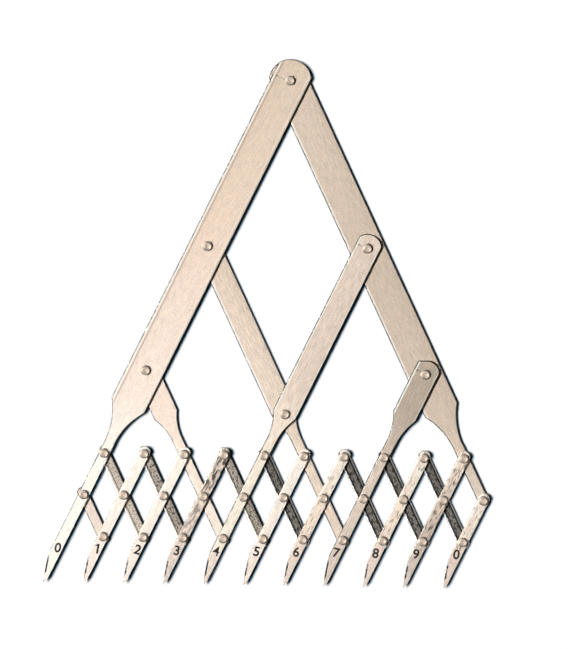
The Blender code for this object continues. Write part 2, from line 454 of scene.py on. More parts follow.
    def stained(self, tree: NodeTree, across: Socket) -> Socket:
        """Adds a stain beside the top rivet, with a fine scratch that runs on to the rivet.

        Args:
            tree: The tree that takes the nodes.
            across: The place across the bar, in millimetres.

        Returns:
            The strength of the stain.
        """
        add = partial(add_node, tree)
        rise = add("Attribute", output="Fac", attribute_name="rise")
        left = add("Math", (across, self.stain[0]), operation="SUBTRACT")
        up = add("Math", (rise, self.stain[1]), operation="SUBTRACT")
        squares = [add("Math", (value, 2.0), operation="POWER") for value in (left, up)]
        reach = add("Math", (add("Math", squares, operation="ADD"),), operation="SQRT")
        dot = add("MapRange", (reach, *self.stain_spot, 0.0))
        thin = add("MapRange", (add("Math", (up,), operation="ABSOLUTE"), *self.stain_line, 0.0))
        inside = add("Math", (left, 0.0), operation="GREATER_THAN")
        short = add("Math", (across, self.stain_end), operation="LESS_THAN")
        line = add("Math", (inside, short), operation="MULTIPLY")
        line = add("Math", (line, thin), operation="MULTIPLY")
        return add("Math", (dot, line), operation="MAXIMUM")

    def shade(self, tree: NodeTree, place: Socket, across: Socket, grain: Socket) -> Socket:
        """Adds the grey that darkens and lightens the plating.

        Args:
            tree: The tree that takes the nodes.
            place: The place on the bar, in millimetres.
            across: The place across the bar.
            grain: The grain along the bar.

        Returns:
            A grey about one.
        """
        add = partial(add_node, tree)
        share = add("Math", (across, self.half_width), operation="DIVIDE")
        right = add("Math", (share, 0.0), operation="MAXIMUM")
        left = add("Math", (share, 0.0), operation="MINIMUM")
        parts = [
            add("Math", (right, -self.fade_right), operation="MULTIPLY"),
            add("Math", (left, self.fade_left), operation="MULTIPLY"),
        ]
        speck = self.noise(tree, place, self.speck_size, self.speck_size)
        blotch = self.noise(tree, place, self.blotch_width, self.blotch_length, detail=2.0)
        swings = ((grain, self.grain_depth), (speck, self.speck_depth), (blotch, self.blotch_depth))
        for value, depth in swings:
            parts.append(add("Math", (value, depth, -depth / 2), operation="MULTIPLY_ADD"))
        grey = 1.0
        for part in parts:
            grey = add("Math", (part, grey), operation="ADD")
        return add("CombineColor", (grey, grey, grey))

    def noise(
        self, tree: NodeTree, place: Socket, width: float, length: float, detail: float = 3.0
    ) -> Socket:
        """Adds a noise stretched along the bar.

        Args:
            tree: The tree that takes the nodes.
            place: The place on the bar, in millimetres.
            width: The size of a patch across the bar, in millimetres.
            length: The size of a patch along the bar, in millimetres.
            detail: How finely the patches break up.

        Returns:
            The noise, from 0 to 1.
        """
        stretched = add_node(tree, "Mapping", {0: place, 3: (1 / width, 1 / length, 1.0)})
        return add_node(tree, "TexNoise", {"Vector": stretched, "Scale": 1.0, "Detail": detail}, "Fac")


@dataclass(frozen=True)
class BurnishedRivet:
    """A rivet head of mild steel, set with a cupped punch.

    The punch leaves a bright crown, with painted shade over its top and bottom. A ring of painted
    shade lies round the foot of the head, thickest at its right, where the head's shadow falls.
    """

    name: str = "burnished_rivet_steel"
    slot: str = "rivet_metal"
    crown: str = "F6E4D2"
    worn: str = "BDA893"
    # The colour of the painted shade on the crown and round the foot, then its strength on each
    ring: str = "3A3129"
    crown_shade: float = 0.42
    foot_shade: float = 0.82
    roughness: float = 0.52
    metallic: float = 0.42
    specular: float = 0.5
    mark_size: float = 0.5
    mark_depth: float = 0.03
    mark_share: float = 0.3

    # The painted shade round the foot starts and is full at these shares of the radius, further in
    # at the right. It fades over turned_range towards the left, to its third value, and the last
    # range is where the crown's top and bottom take painted shade
    foot_shade_range: tuple[float, float] = (0.74, 0.85)
    foot_shade_shift: float = -0.06
    turned_range: tuple[float, float, float] = (-1.1, -0.05, 0.26)
    crown_shade_range: tuple[float, float] = (0.02, 0.40)

    def material(self) -> Material:
        """Makes the node material.

        Returns:
            The material.
        """
        material, tree, shader = new_material(self.name)
        add = partial(add_node, tree)
        place = add("TexCoord", output="Object")
        noise = {"Vector": place, "Scale": 1 / (self.mark_size * MM), "Detail": 3.0}
        marks = add("TexNoise", noise, "Fac")
        dark = self.painted_shade(tree)
        colours = {0: marks, 6: linear(self.worn), 7: linear(self.crown)}
        worn = add("Mix", colours, 2, data_type="RGBA")
        bare = add("Math", (1.0, dark), operation="SUBTRACT")
        bump = {"Height": marks, "Strength": self.mark_share, "Distance": self.mark_depth * MM}
        inputs = {
            "Base Color": add("Mix", {0: dark, 6: worn, 7: linear(self.ring)}, 2, data_type="RGBA"),
            "Metallic": add("Math", (bare, self.metallic), operation="MULTIPLY"),
            "Specular IOR Level": add("Math", (bare, self.specular), operation="MULTIPLY"),
            "Roughness": self.roughness,
            "Normal": add("Bump", bump),
        }
        set_inputs(shader, inputs)
        return material

    def painted_shade(self, tree: NodeTree) -> Socket:
        """Finds where the head takes painted shade, from the places that its mesh states.

        Args:
            tree: The tree that takes the nodes.

        Returns:
            The strength of the painted shade.
        """
        add = partial(add_node, tree)
        ring = add("Attribute", output="Fac", attribute_name="ring")
        right = add("Attribute", output="Fac", attribute_name="right")
        reach = add("Math", (right, self.foot_shade_shift, ring), operation="MULTIPLY_ADD")
        ranges = (reach, *self.foot_shade_range, 0.0, self.foot_shade)
        foot = add("MapRange", ranges, interpolation_type="SMOOTHSTEP")
        turned = add("MapRange", (right, *self.turned_range, 1.0), interpolation_type="SMOOTHSTEP")
        foot = add("Math", (foot, turned), operation="MULTIPLY")
        squares = [add("Math", (value, value), operation="MULTIPLY") for value in (right, ring)]
        upright = add("Math", (1.0, squares[0]), operation="SUBTRACT")
        upright = add("Math", (upright, squares[1]), operation="MULTIPLY")
        crown_shade = add("MapRange", (upright, *self.crown_shade_range, 0.0, self.crown_shade))
        return add("Math", (foot, crown_shade), operation="MAXIMUM")


@dataclass(frozen=True)
class StampedEnamel:
    """Black enamel rubbed into stamped numerals, worn to brown in specks, with a slight gloss."""

    name: str = "black_enamel"
    colour: str = "171310"
    faded: str = "382E26"
    speck_size: float = 0.4
    roughness: float = 0.6
    specular: float = 0.3

    def material(self) -> Material:
        """Makes the node material.

        Returns:
            The material.
        """
        material, tree, shader = new_material(self.name)
        place = add_node(tree, "TexCoord", output="Object")
        noise = {"Vector": place, "Scale": 1 / (self.speck_size * MM)}
        specks = add_node(tree, "TexNoise", noise, "Fac")
        colours = {0: specks, 6: linear(self.colour), 7: linear(self.faded)}
        colour = add_node(tree, "Mix", colours, 2, data_type="RGBA")
        inputs = {"Base Color": colour, "Roughness": self.roughness, "Specular IOR Level": self.specular}
        set_inputs(shader, inputs)
        return material


def even(*codes: str) -> Stops:
    """Spreads colours evenly from the foot of a bar to its top."""
    last = max(len(codes) - 1, 1)
    return tuple((index / last, code, 1.0) for index, code in enumerate(codes))


# The colours of the borders, from the face out to the wall: painted highlights and painted shade. The
# bright bands stand for light from the left on the rolled border, and the dark outlines and dark far
# sides stand for shade and shadow at the edge, so left and right differ.
WIDE_LEFT_TRIM: Stops = (
    (0.00, "FFF8EE", 0.0),
    (0.04, "FFF8EE", 0.7),
    (0.12, "FFF8EE", 0.7),
    (0.18, "38312A", 0.95),
    (1.00, "1A1613", 1.0),
)
WIDE_RIGHT_TRIM: Stops = (
    (0.00, "FFF6EA", 0.0),
    (0.06, "FFF6EA", 0.6),
    (0.40, "FFF6EA", 0.8),
    (0.52, "3A332C", 0.8),
    (1.00, "1A1715", 1.0),
)
DARK_LEFT_TRIM: Stops = (
    (0.00, "14110E", 0.0),
    (0.02, "14110E", 0.8),
    (0.10, "14110E", 0.8),
    (0.22, "FFFFFF", 1.0),
    (1.00, "FFFFFF", 1.0),
)
DARK_RIGHT_TRIM: Stops = (
    (0.00, "3A3630", 0.0),
    (0.05, "3A3630", 0.8),
    (0.24, "3A3630", 0.8),
    (0.34, "FFFDF6", 1.0),
    (0.76, "FFFDF6", 1.0),
    (0.86, "2A2C2C", 1.0),
    (1.00, "1A1C1D", 1.0),
)
GREY_LEFT_TRIM: Stops = (
    (0.00, "FFFAF2", 0.0),
    (0.05, "FFFAF2", 0.8),
    (0.34, "FFFAF2", 1.0),
    (1.00, "FFFFFF", 1.0),
)
GREY_RIGHT_TRIM: Stops = (
    (0.00, "4E4942", 0.0),
    (0.06, "4E4942", 0.8),
    (0.40, "2E2C29", 0.9),
    (1.00, "1A1C1D", 1.0),
)
SOFT_RIGHT_TRIM: Stops = (
    (0.00, "FFF3E2", 0.0),
    (0.08, "FFF3E2", 0.5),
    (0.26, "FFF3E2", 0.5),
    (0.40, "4E463E", 0.85),
    (1.00, "3E3832", 1.0),
)
BRACE_RIGHT_TRIM: Stops = (
    (0.00, "FFF8EE", 0.0),
    (0.04, "FFF8EE", 0.7),
    (0.12, "FFF8EE", 0.7),
    (0.20, "33291F", 0.9),
    (1.00, "241E19", 1.0),
)
WIDE_TRIMS = {"left_highlight_and_shade": WIDE_LEFT_TRIM, "right_highlight_and_shade": WIDE_RIGHT_TRIM}
BRACE_TRIMS = {"left_highlight_and_shade": WIDE_LEFT_TRIM, "right_highlight_and_shade": BRACE_RIGHT_TRIM}
LINK_TRIMS = {"left_highlight_and_shade": WIDE_LEFT_TRIM, "right_highlight_and_shade": GREY_RIGHT_TRIM}
GREY_TRIMS = {"left_highlight_and_shade": GREY_LEFT_TRIM, "right_highlight_and_shade": GREY_RIGHT_TRIM}
BRACE_FACE = {"half_width": 4.2, "grain_depth": 0.70}

# The same plated steel in lighter and darker copies, one for each bar: painted light and shade, as the
# light falls on each bar. The flecks and streaks are the steel's own.
LEFT_ARM_STEEL = RolledSteel(
    "plated_steel_left_arm",
    "pale_metal",
    (
        (0.00, "FFF8EC", 1.0),
        (0.25, "FFFBF0", 1.0),
        (0.36, "FFECDD", 1.0),
        (0.70, "F3DDC8", 1.0),
        (1.00, "E6D2BC", 1.0),
    ),
    half_width=6.0,
    fade_left=0.05,
    grain_depth=0.36,
    painted_lines=(
        (-5.62, 0.26, "FFFDF6", 0.80),
        (-4.95, 0.40, "A8927D", 0.45),
        (5.35, 0.34, "FFFAF0", 0.30),
    ),
    stain=(-4.9, -0.5),
    **WIDE_TRIMS,
)
RIGHT_ARM_STEEL = RolledSteel(
    "plated_steel_right_arm",
    "warm_metal",
    ((0.0, "F0DFCE", 1.0), (0.22, "E2CFBB", 1.0), (0.5, "DDCBB7", 1.0), (1.0, "E6D3BF", 1.0)),
    half_width=6.0,
    fade_right=0.06,
    grain_depth=0.50,
    blotch_depth=0.16,
    painted_lines=((-5.65, 0.50, "FFFAF2", 0.60),),
    **LINK_TRIMS,
)
PALE_BRACE_STEEL = RolledSteel(
    "plated_steel_pale_brace",
    "warm_metal",
    (
        (0.00, "F0E0D2", 1.0),
        (0.07, "F2E2D3", 1.0),
        (0.13, "FFF4E2", 1.0),
        (0.40, "FFEEDB", 1.0),
        (0.60, "ECD9C8", 1.0),
        (1.00, "ECD9C8", 1.0),
    ),
    **BRACE_FACE,
    fade_right=0.05,
    painted_lines=((-3.80, 0.36, "FFFAF0", 0.75), (3.75, 0.24, "FFFAF0", 0.50)),
    stain=(-3.2, -0.1),
    **BRACE_TRIMS,
)
GREY_BRACE_STEEL = RolledSteel(
    "plated_steel_grey_brace",
    "grey_metal",
    ((0.0, "E3D3C4", 1.0), (0.5, "EAD8C7", 1.0), (0.75, "C8B8A6", 1.0), (1.0, "C4B4A1", 1.0)),
    **BRACE_FACE,
    fade_right=0.05,
    painted_lines=((-3.80, 0.40, "FFFAF0", 1.0), (3.75, 0.24, "FFFAF0", 0.40)),
    stain=(-3.2, 0.2),
    **BRACE_TRIMS,
)
WARM_BRACE_STEEL = RolledSteel(
    "plated_steel_warm_brace",
    "warm_metal",
    even("F2DFCB", "F2DFCB", "EAD5C1"),
    **BRACE_FACE,
    fade_right=0.08,
    painted_lines=((-3.70, 0.45, "FFFFFF", 0.55),),
    **WIDE_TRIMS,
)
CREAM_LINK_STEEL = RolledSteel(
    "plated_steel_cream_link",
    "pale_metal",
    even("FFF0E2", "FFE6D4"),
    **LINK_TRIMS,
)
SHORT_LINK_STEEL = RolledSteel(
    "plated_steel_short_link",
    "pale_metal",
    even("F0E2D6", "EFDACC"),
    **LINK_TRIMS,
)
CREAM_LEG_STEEL = RolledSteel(
    "plated_steel_cream_leg",
    "pale_metal",
    even("F8E9DD", "FFF3E6", "FFF7EA"),
    blotch_depth=0.24,
)
WARM_LEG_STEEL = RolledSteel(
    "plated_steel_warm_leg",
    "pale_metal",
    even("FBEBDD", "FFF5E9"),
    blotch_depth=0.32,
    right_highlight_and_shade=SOFT_RIGHT_TRIM,
)
STREAKED_LEG_STEEL = RolledSteel(
    "plated_steel_streaked_leg",
    "warm_metal",
    even("EEDFD2", "E6D6C8", "E6D6C6"),
    fleck="3E362E",
    fleck_share=1.0,
    fleck_floor=0.24,
    fleck_full=0.80,
    fleck_width=0.85,
    fleck_length=3.4,
    blotch_depth=1.00,
)
FLECKED_LEG_STEEL = RolledSteel(
    "plated_steel_flecked_leg",
    "warm_metal",
    even("E9D8CC", "FFEBD8", "FFF4E6"),
    fleck="AA9988",
    fleck_share=0.55,
    fleck_floor=0.22,
    blotch_depth=0.40,
    right_highlight_and_shade=SOFT_RIGHT_TRIM,
)
SHADED_FLECKED_LEG_STEEL = RolledSteel(
    "plated_steel_tarnished_leg",
    "warm_metal",
    even("E0D4C8", "DECCBA", "FFECDA"),
    fleck="7E7265",
    fleck_share=0.75,
    fleck_floor=0.24,
    blotch_depth=0.56,
    right_highlight_and_shade=SOFT_RIGHT_TRIM,
)
LIGHT_LINK_STEEL = RolledSteel(
    "plated_steel_light_link",
    "grey_metal",
    even("D8CABB", "D8CABC"),
    painted_lines=((-0.70, 0.28, "2A241E", 0.6),),
    fleck="8C8074",
    fleck_share=0.75,
    blotch_depth=0.48,
    speck_depth=0.90,
    fleck_width=0.45,
    fleck_length=0.6,
    **GREY_TRIMS,
)
BROWN_LINK_STEEL = RolledSteel(
    "plated_steel_brown_link",
    "grey_metal",
    even("B4A99B", "C1B6A9"),
    painted_lines=((-0.90, 0.28, "1E1A16", 0.6),),
    fleck="544B42",
    fleck_share=0.85,
    blotch_depth=0.56,
    speck_depth=1.00,
    fleck_width=0.50,
    fleck_length=1.0,
    **GREY_TRIMS,
)
DARK_LINK_STEEL = RolledSteel(
    "plated_steel_dark_link",
    "dark_metal",
    even("8E8A82", "7D7871"),
    fleck="36312B",
    fleck_share=0.95,
    blotch_depth=0.64,
    speck_depth=1.10,
    fleck_width=0.6,
    fleck_length=1.4,
    painted_lines=((1.30, 0.30, "14110E", 0.9), (-1.00, 0.40, "14110E", 0.8)),
    left_highlight_and_shade=DARK_LEFT_TRIM,
    right_highlight_and_shade=DARK_RIGHT_TRIM,
)


def start_clean() -> None:
    """Deselects everything, in object mode."""
    if bpy.context.mode != "OBJECT":
        bpy.ops.object.mode_set(mode="OBJECT")
    bpy.ops.object.select_all(action="DESELECT")


def choose(item: Object) -> None:
    """Makes an object the only one selected, and the active one.

    Args:
        item: The object.
    """
    start_clean()
    item.select_set(True)
    bpy.context.view_layer.objects.active = item


def pick(item: Object, wanted: Callable[[bmesh.types.BMEdge], bool]) -> None:
    """Selects those edges of a mesh in edit mode that pass a test.

    Args:
        item: The object in edit mode.
        wanted: The test of an edge.
    """
    bpy.ops.mesh.select_mode(type="EDGE")
    bpy.ops.mesh.select_all(action="DESELECT")
    work = bmesh.from_edit_mesh(item.data)
    for edge in work.edges:
        if wanted(edge):
            edge.select_set(True)
    work.select_flush_mode()
    bmesh.update_edit_mesh(item.data)


def is_open(edge: bmesh.types.BMEdge) -> bool:
    """Tells whether an edge is at the border of a mesh that isn't closed yet."""
    return edge.is_boundary


def place_copy(master: Object, name: str, place: Vector, turn: float, material: Material) -> Object:
    """Copies a finished piece with its own mesh, and applies its place to the mesh.

    Args:
        master: The piece that is copied.
        name: The copy's name.
        place: Where the copy's origin goes.
        turn: The copy's angle about Z, in radians.
        material: The copy's material.

    Returns:
        The copy, with its object at the origin.
    """
    copy = master.copy()
    copy.data = master.data.copy()
    copy.name = name
    copy.data.name = name
    bpy.context.scene.collection.objects.link(copy)
    copy.matrix_world = Matrix.Translation(place) @ Matrix.Rotation(turn, 4, "Z")
    choose(copy)
    bpy.ops.object.transform_apply(location=True, rotation=True, scale=True)
    copy.data.materials.clear()
    copy.data.materials.append(material)
    return copy


@dataclass(frozen=True)
class Station:
    """One rung across a bar: its height and the places of its left and right ends."""

    height: float
    left: float
    right: float


@dataclass(frozen=True)
class BarShape:
    """The outline of a bar, about its pivot in the lattice's middle row.

    Heights run up the bar. The ends are struck about the first and last pivots, a narrow
    end from a little beyond its pivot. pivots counts the pivots' heights in spacings. The
    extras widen the narrow part at its sides, and a share is one of a width or a radius.
    """

    name: str
    pivots: tuple[int, ...]
    foot: Foot
    wide: float = 0.0036
    neck_start: float = 0.0
    shoulder: float = 0.0
    cut_corner: bool = False
    narrow: float = 0.0036
    left_extra: float = 0.0
    right_extra: float = 0.0
    end_share: float = 1.17
    end_reach: float = 0.00055
    wide_end_share: float = 1.18
    arc_steps: int = 12
    neck_steps: int = 10
    taper_steps: int = 6
    point_length: float = 0.0334
    taper_length: float = 0.0108
    taper_bulge: float = 0.0003
    tip_slant: float = 0.0020
    tip_share: float = 0.67
    cut_share: float = 0.65
    cut_angle: float = math.radians(97.5)
    roll: float = 0.00030
    roll_steps: int = 5
    grind_width: float = 0.00055

    # How far the normal of a ground slope, of a flat face and of a wall rises
    slope_range: tuple[float, float] = (0.5, 0.9)
    flat_rise: float = 0.99
    wall_rise: float = 0.01

    tip_thinning: float = 0.45
    hole_radius: float = 0.0009
    hole_sides: int = 24
    drill_share: float = 3.0
    smooth_angle: float = math.radians(35)

    @property
    def top_height(self) -> float:
        """The height of the top pivot."""
        return self.pivots[0] * LINKAGE.spacing

    @property
    def taper_height(self) -> float:
        """The height at which the left edge leaves its line for the point."""
        return self.taper_length - self.point_length

    @property
    def slant_height(self) -> float:
        """The height at which the right edge leaves its line for the tip."""
        return self.tip_slant - self.point_length

    def round_end(self, half: float, centre: float, way: int) -> list[Station]:
        """Lists the rungs of a round end, from the top down.

        Args:
            half: Half of the bar's width there.
            centre: The height of the round's centre.
            way: 1 for an end that points up, and -1 for one that points down.

        Returns:
            The rungs.
        """
        radius = half * (self.wide_end_share if half > self.narrow / 2 else self.end_share)
        corner = math.acos(half / radius)
        rungs = []
        for step in range(self.arc_steps + 1):
            angle = math.pi / 2 + (corner - math.pi / 2) * step / self.arc_steps
            side = max(radius * math.cos(angle), CLOSED)
            rungs.append(Station(centre + way * radius * math.sin(angle), -side, side))
        return rungs[::way]

    def top_stations(self) -> list[Station]:
        """Lists the rungs of the top end, from its crown down to its straight sides.

        Returns:
            The rungs.
        """
        centre = self.top_height + (0 if self.shoulder else self.end_reach)
        rungs = self.round_end(self.wide / 2, centre, 1)
        return [self.cut_left(rung) for rung in rungs] if self.cut_corner else rungs

    def cut_left(self, rung: Station) -> Station:
        """Cuts the left corner of a wide end straight.

        Args:
            rung: A rung of the round end.

        Returns:
            The rung with its left end on the cut, or unchanged above the cut.
        """
        radius = self.wide / 2 * self.wide_end_share
        start = Vector((radius * math.cos(self.cut_angle), radius * math.sin(self.cut_angle)))
        stop = Vector((-self.wide / 2, radius * self.cut_share))
        rise = rung.height - self.top_height
        if rise >= start.y:
            return rung
        share = min(1.0, (start.y - rise) / (start.y - stop.y))
        return Station(rung.height, start.x + (stop.x - start.x) * share, rung.right)

    def neck_stations(self) -> list[Station]:
        """Lists the rungs of the neck, from the shoulder down to the narrow width.

        Returns:
            The rungs, or none where the bar has no shoulder.
        """
        if not self.shoulder:
            return []
        narrow = self.narrow / 2
        widening = self.wide / 2 - narrow
        rise = self.shoulder - self.neck_start
        sweep = 2 * math.atan2(widening, rise)
        radius = rise / math.sin(sweep)
        base = LINKAGE.spacing + self.neck_start
        stations = []
        for step in range(self.neck_steps + 1):
            angle = sweep * (1 - step / self.neck_steps)
            side = narrow + radius - radius * math.cos(angle)
            stations.append(Station(base + radius * math.sin(angle), -side, side))
        return stations

    def foot_stations(self) -> list[Station]:
        """Lists the rungs of the foot, down to its end.

        Returns:
            The rungs.
        """
        half = self.narrow / 2
        if self.foot is Foot.ROUND:
            return self.round_end(half, self.pivots[-1] * LINKAGE.spacing - self.end_reach, -1)
        tip = Vector((half * self.tip_share, -self.point_length))
        start = Vector((-half, self.taper_height))
        along = tip - start
        outward = Vector((along.y, -along.x)).normalized()
        slant_share = 1 - self.tip_slant / self.taper_length
        shares = [step / self.taper_steps * slant_share for step in range(self.taper_steps + 1)]
        stations = []
        for share in (*shares, (1 + slant_share) / 2, 1.0):
            left = start + along * share + outward * (4 * share * (1 - share) * self.taper_bulge)
            slanted = max(0.0, (share - slant_share) / (1 - slant_share))
            right = half + (tip.x + CLOSED - half) * slanted
            stations.append(Station(left.y, min(left.x, right - CLOSED), right))
        return stations

    def stations(self) -> list[Station]:
        """Lists all rungs from the top down, with the narrow part's sides at their true width.

        Returns:
            The rungs.
        """
        side = self.narrow / 2
        rungs = []
        for rung in self.top_stations() + self.neck_stations() + self.foot_stations():
            left = rung.left - (self.left_extra if abs(rung.left + side) < TINY else 0.0)
            right = rung.right + (self.right_extra if abs(rung.right - side) < TINY else 0.0)
            rungs.append(Station(rung.height, left, right))
        return rungs

    def build(self) -> Object:
        """Models the bar flat, with its middle pivot at the origin and its underside at zero.

        Returns:
            The bar.
        """
        rungs = self.stations()
        first, second = rungs[0], rungs[1]
        drop = first.height - second.height
        middle = (first.height + second.height) / 2
        width = second.right - second.left
        shift = (second.right + second.left) / 2
        start_clean()
        bpy.ops.mesh.primitive_plane_add(size=1.0)
        item = bpy.context.active_object
        item.name = self.name
        bpy.ops.object.mode_set(mode="EDIT")
        bpy.ops.mesh.select_all(action="SELECT")
        bpy.ops.transform.resize(value=(width, drop, 1.0), center_override=(0, 0, 0))
        bpy.ops.transform.translate(value=(shift, middle, 0))
        pick(item, lambda edge: all(vert.co.y > middle for vert in edge.verts))
        share = (first.right - first.left) / width
        bpy.ops.transform.resize(value=(share, 1, 1), center_override=(shift, first.height, 0))
        bpy.ops.transform.translate(value=((first.right + first.left) / 2 - shift, 0, 0))
        pick(item, lambda edge: all(vert.co.y < middle for vert in edge.verts))
        for upper, lower in zip(rungs[1:], rungs[2:]):
            centre = (lower.left + lower.right) / 2
            slide = centre - (upper.left + upper.right) / 2
            move = {"value": (slide, lower.height - upper.height, 0)}
            bpy.ops.mesh.extrude_region_move(TRANSFORM_OT_translate=move)
            share = (lower.right - lower.left) / (upper.right - upper.left)
            override = (centre, lower.height, 0)
            bpy.ops.transform.resize(value=(share, 1, 1), center_override=override)
        self.thicken()
        self.roll_edges(item)
        bpy.ops.object.mode_set(mode="OBJECT")
        self.drill(item)
        self.mark(item)
        self.smooth(item)
        return item

    def thicken(self) -> None:
        """Closes the ends of the outline in edit mode and raises it to the bar's thickness."""
        bpy.ops.mesh.select_all(action="SELECT")
        bpy.ops.mesh.remove_doubles(threshold=TINY)
        bpy.ops.mesh.dissolve_limited(angle_limit=math.radians(1), use_dissolve_boundaries=False)
        move = {"value": (0, 0, LINKAGE.thickness)}
        bpy.ops.mesh.extrude_region_move(TRANSFORM_OT_translate=move)
        bpy.ops.mesh.select_all(action="SELECT")
        bpy.ops.mesh.normals_make_consistent(inside=False)

    def on_border(self, edge: bmesh.types.BMEdge) -> bool:
        """Tells whether an edge runs level between a flat face and a wall.

        Args:
            edge: The edge.

        Returns:
            Whether it does.
        """
        level = abs(edge.verts[0].co.z - edge.verts[1].co.z) < TINY
        flat = any(abs(face.normal.z) > self.flat_rise for face in edge.link_faces)
        wall = any(abs(face.normal.z) < self.wall_rise for face in edge.link_faces)
        return level and flat and wall

    def bevel(self, width: float, steps: int) -> None:
        """Bevels the selected edges: round in several steps, or straight in one."""
        bpy.ops.mesh.bevel(
            offset=width, offset_type="OFFSET", segments=steps, profile=0.5, affect="EDGES"
        )

    def roll_edges(self, item: Object) -> None:
        """Rounds the long edges as the rolled strip has them, down to the ground point.

        Args:
            item: The bar, in edit mode.
        """
        pointed = self.foot is Foot.POINT
        left_limit = self.taper_height if pointed else -1.0
        right_limit = self.slant_height if pointed else -1.0

        def rolled(edge: bmesh.types.BMEdge) -> bool:
            """Tells whether an edge of the border lies above the point.

            Args:
                edge: The edge.

            Returns:
                Whether it does.
            """
            low = min(vert.co.y for vert in edge.verts)
            right = all(vert.co.x > self.narrow / 2 - TINY for vert in edge.verts)
            return self.on_border(edge) and low > (right_limit if right else left_limit) - TINY

        pick(item, rolled)
        self.bevel(self.roll, self.roll_steps)
        if pointed:
            self.grind(item)
            self.thin_tip(item)

    def grind(self, item: Object) -> None:
        """Grinds the bent edge of the point, on both faces, to a narrow slope.

        Args:
            item: The bar, in edit mode.
        """
        side = self.narrow / 2 - self.grind_width * 2

        def bent(edge: bmesh.types.BMEdge) -> bool:
            """Tells whether an edge of the border runs down the left side of the point.

            Args:
                edge: The edge.

            Returns:
                Whether it does.
            """
            left = all(vert.co.x < side for vert in edge.verts)
            heights = [vert.co.y for vert in edge.verts]
            inside = self.slant_height - TINY < min(heights) and max(heights) < self.taper_height + TINY
            return self.on_border(edge) and left and inside

        pick(item, bent)
        self.bevel(self.grind_width, 1)

    def thin_tip(self, item: Object) -> None:
        """Thins the last of the point from below, down to a fine tip.

        Args:
            item: The bar, in edit mode.
        """
        tip = -self.point_length
        for limit in ((tip + self.slant_height) / 2, tip):
            pick(item, lambda edge: all(vert.co.y < limit + TINY for vert in edge.verts))
            centre = (0, 0, LINKAGE.thickness)
            bpy.ops.transform.resize(value=(1, 1, self.tip_thinning), center_override=centre)

    def drill(self, item: Object) -> None:
        """Drills a rivet hole at each pivot.

        Args:
            item: The bar, in object mode.
        """
        for pivot in self.pivots:
            start_clean()
            bpy.ops.mesh.primitive_cylinder_add(
                vertices=self.hole_sides,
                radius=self.hole_radius,
                depth=LINKAGE.thickness * self.drill_share,
                location=(0, pivot * LINKAGE.spacing, LINKAGE.thickness / 2),
            )
            cutter = bpy.context.active_object
            choose(item)
            hole = item.modifiers.new("hole", "BOOLEAN")
            hole.operation = "DIFFERENCE"
            hole.solver = "MANIFOLD"
            hole.object = cutter
            bpy.ops.object.modifier_apply(modifier=hole.name)
            bpy.data.objects.remove(cutter, do_unlink=True)

    def mark(self, item: Object) -> None:
        """Writes each point's place on the bar, which the finish reads.

        The map holds millimetres across and along the bar, and rise those above the top pivot.
        tone runs from 0 at the foot to 1 at the top, edge from 0 on the flat faces round the
        rolled border to 1 on the walls, and ground from 0 to 1 down the slope of the point and
        over its very tip.

        Args:
            item: The bar, in object mode.
        """
        mesh = item.data
        top, low = self.stations()[0].height, self.stations()[-1].height
        tone = mesh.attributes.new("tone", "FLOAT", "POINT")
        rise = mesh.attributes.new("rise", "FLOAT", "POINT")
        for index, vertex in enumerate(mesh.vertices):
            tone.data[index].value = (vertex.co.y - low) / (top - low)
            rise.data[index].value = (vertex.co.y - self.top_height) / MM
        edge = mesh.attributes.new("edge", "FLOAT", "CORNER")
        ground = mesh.attributes.new("ground", "FLOAT", "CORNER")
        layer = mesh.uv_layers[0] if mesh.uv_layers else mesh.uv_layers.new(name="bar")
        layer.name = "bar"
        lowest, highest = self.slope_range
        for face in mesh.polygons:
            for corner in face.loop_indices:
                x, y, z = mesh.vertices[mesh.loops[corner].vertex_index].co
                layer.data[corner].uv = (x / MM, y / MM)
                depth = max(0.0, min(z, LINKAGE.thickness - z, self.roll))
                edge.data[corner].value = math.acos(1 - depth / self.roll) / (math.pi / 2)
                share = (self.taper_height - y) / (self.taper_length - self.tip_slant)
                slope = lowest < abs(face.normal.z) < highest and x < self.narrow / 2 - self.roll
                tip = self.foot is Foot.POINT and y < low + TINY
                ground.data[corner].value = min(1.0, max(0.0, share)) if slope or tip else 0.0

    def smooth(self, item: Object) -> None:
        """Smooths the rolled edges and keeps the flat faces flat.

        Args:
            item: The bar, in object mode.
        """
        choose(item)
        bpy.ops.object.shade_smooth_by_angle(angle=self.smooth_angle)
        weighted = item.modifiers.new("weighted", "WEIGHTED_NORMAL")
        weighted.keep_sharp = True
        weighted.weight = 100
        bpy.ops.object.modifier_apply(modifier=weighted.name)


PLAIN_LEG = BarShape("plain_leg", (1, 0, -1), Foot.POINT)
SHORT_LEG = BarShape("short_leg", (0, -1), Foot.POINT)
PLAIN_LINK = BarShape("plain_link", (1, 0, -1), Foot.ROUND, roll=0.00045, right_extra=0.00022)
SHORT_LINK = BarShape("short_link", (0, -1), Foot.ROUND)
ARM = {"wide": 0.0124, "neck_start": 0.0042, "shoulder": 0.0185}
BRACE = {"wide": 0.0086, "neck_start": 0.0059, "shoulder": 0.0159, "roll": 0.00040}
LOW_BRACE = {"wide": 0.0086, "neck_start": 0.0059, "shoulder": 0.0149}
LEFT_ARM = BarShape(
    "left_arm_shape",
    (10, 6, 3, 1, 0),
    Foot.POINT,
    **{**ARM, "wide": 0.0126},
    roll=0.00036,
    left_extra=-0.00012,
    right_extra=0.00010,
)
RIGHT_ARM = BarShape(
    "right_arm_shape", (10, 6, 3, 1, 0), Foot.ROUND, **ARM, roll=0.00045, right_extra=0.00020
)
LONG_BRACE_LEG = BarShape("long_brace_leg", (6, 2, 1, 0, -1), Foot.POINT, **BRACE)
